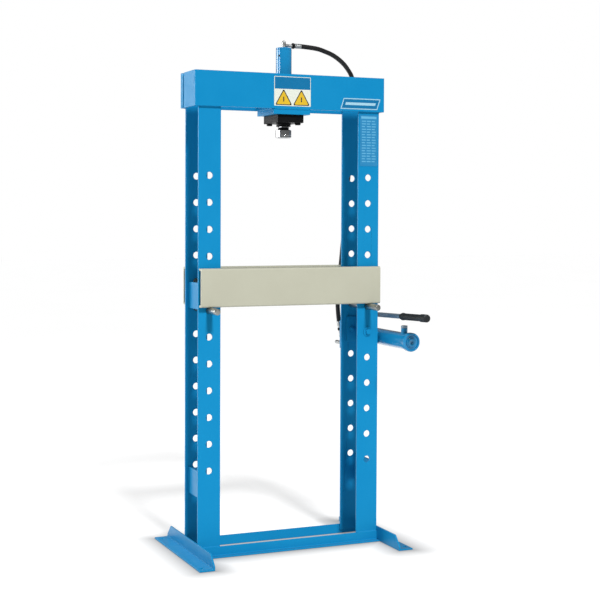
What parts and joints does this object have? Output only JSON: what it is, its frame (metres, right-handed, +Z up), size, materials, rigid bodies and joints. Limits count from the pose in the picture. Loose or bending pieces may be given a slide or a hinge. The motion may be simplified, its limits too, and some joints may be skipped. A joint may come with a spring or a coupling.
{
  "type": "hydraulic shop press",
  "caption": "Floor-standing hydraulic shop press with a pinned adjustable bed, a spring-return ram in its head beam and a side-mounted lever hand pump with a hose.",
  "frame": {"origin": "on the floor, at the centre of the four anchor holes in the feet, straight under the ram's axis", "axes": "+Z up; +X to the operator's right, towards the pump; +Y from the operator's side to the back"},
  "size_m": [0.876, 0.794, 1.944],
  "materials": {
    "press_blue_paint": "gloss blue powder coat",
    "bed_beige_paint": "satin beige-grey powder coat",
    "capacity_label": "white film with a blue band and two yellow warning triangles",
    "badge_label": "slanted silver-white film with a plain blue band",
    "instruction_label": "mid blue film with plain paler bars",
    "black_oxide_steel": "black oxide, lightly oiled",
    "chrome": "hard chrome, ground and polished",
    "bright_steel": "machined steel",
    "zinc_plate": "dull zinc plating",
    "seal_rubber": "smooth nitrile rubber",
    "hose_rubber": "fabric-marked black hose cover",
    "grip_rubber": "moulded matt rubber"
  },
  "bodies": {
    "frame": {"upright_bar_front_left": "press_blue_paint", "upright_bar_front_right": "press_blue_paint", "upright_bar_rear_left": "press_blue_paint", "upright_bar_rear_right": "press_blue_paint", "battens_left": "press_blue_paint", "battens_right": "press_blue_paint", "head_beam_front": "press_blue_paint", "head_beam_rear": "press_blue_paint", "head_end_plates": "press_blue_paint", "head_stiffeners": "press_blue_paint", "cylinder_mount_plate": "press_blue_paint", "foot_left": "press_blue_paint", "foot_right": "press_blue_paint", "base_rail_front": "press_blue_paint", "base_rail_rear": "press_blue_paint", "capacity_plate": "capacity_label", "badge_plate": "badge_label", "instruction_plate": "instruction_label", "cylinder_barrel": "press_blue_paint", "cylinder_cap": "press_blue_paint", "cap_lock_screw": "black_oxide_steel", "cylinder_flange": "black_oxide_steel", "flange_bolts": "black_oxide_steel", "rod_gland": "black_oxide_steel", "rod_wiper": "seal_rubber", "return_spring": "bright_steel", "inlet_elbow": "zinc_plate", "inlet_nut": "black_oxide_steel", "hose_ferrule_upper": "zinc_plate", "hydraulic_hose": "hose_rubber", "hose_ferrule_lower": "zinc_plate", "outlet_nut": "black_oxide_steel", "outlet_elbow": "zinc_plate", "pump_bracket": "press_blue_paint", "bracket_bolts": "press_blue_paint", "pump_saddles": "press_blue_paint", "saddle_bolts": "black_oxide_steel", "reservoir_tube": "press_blue_paint", "reservoir_cap": "press_blue_paint", "reservoir_plug": "press_blue_paint", "pump_head": "press_blue_paint", "plunger_gland": "black_oxide_steel"},
    "ram": {"piston": "bright_steel", "piston_seal": "seal_rubber", "ram_rod": "chrome", "ram_collar": "black_oxide_steel", "ram_nose": "chrome"},
    "bed": {"bed_channel_front": "bed_beige_paint", "bed_channel_rear": "bed_beige_paint", "bed_spacers": "bed_beige_paint"},
    "left_pin": {"bed_pin_left": "zinc_plate"},
    "right_pin": {"bed_pin_right": "zinc_plate"},
    "lever": {"lever_pins": "bright_steel", "lever_fork": "press_blue_paint", "lever_handle": "zinc_plate", "handle_grip": "grip_rubber"},
    "pump_plunger": {"plunger": "bright_steel"},
    "valve": {"release_valve": "zinc_plate"},
    "filler": {"filler_plug": "zinc_plate"}
  },
  "joints": [
    {"name": "ram_slide", "type": "slide", "parent": "frame", "child": "ram", "axis": [0, 0, -1], "range_m": [0, 0.15], "stiffness_N_per_m": 2000, "springref_m": -0.04, "deforming": ["return_spring"]},
    {"name": "bed_slide", "type": "slide", "parent": "frame", "child": "bed", "axis": [0, 0, 1], "range_m": [0, 0.5]},
    {"name": "left_pin_pull", "type": "slide", "parent": "frame", "child": "left_pin", "axis": [0, -1, 0], "range_m": [0, 0.2]},
    {"name": "right_pin_pull", "type": "slide", "parent": "frame", "child": "right_pin", "axis": [0, -1, 0], "range_m": [0, 0.2]},
    {"name": "lever_swing", "type": "hinge", "parent": "frame", "child": "lever", "pos_m": [0.41, 0.266, 0.872], "axis": [-1, 0, 0], "range_deg": [0, 45]},
    {"name": "plunger_stroke", "type": "slide", "parent": "frame", "child": "pump_plunger", "axis": [0, 0, 1], "range_m": [0, 0.0295]},
    {"name": "release_turn", "type": "hinge", "parent": "frame", "child": "valve", "pos_m": [0.41, 0.286, 0.738], "axis": [0, 1, 0], "range_deg": [0, 180]},
    {"name": "filler_lift", "type": "slide", "parent": "frame", "child": "filler", "axis": [0, 0, 1], "range_m": [0, 0.015]}
  ],
  "couplings": [
    {"joint": "plunger_stroke", "follows": "lever_swing", "m_per_rad": 0.0365}
  ]
}
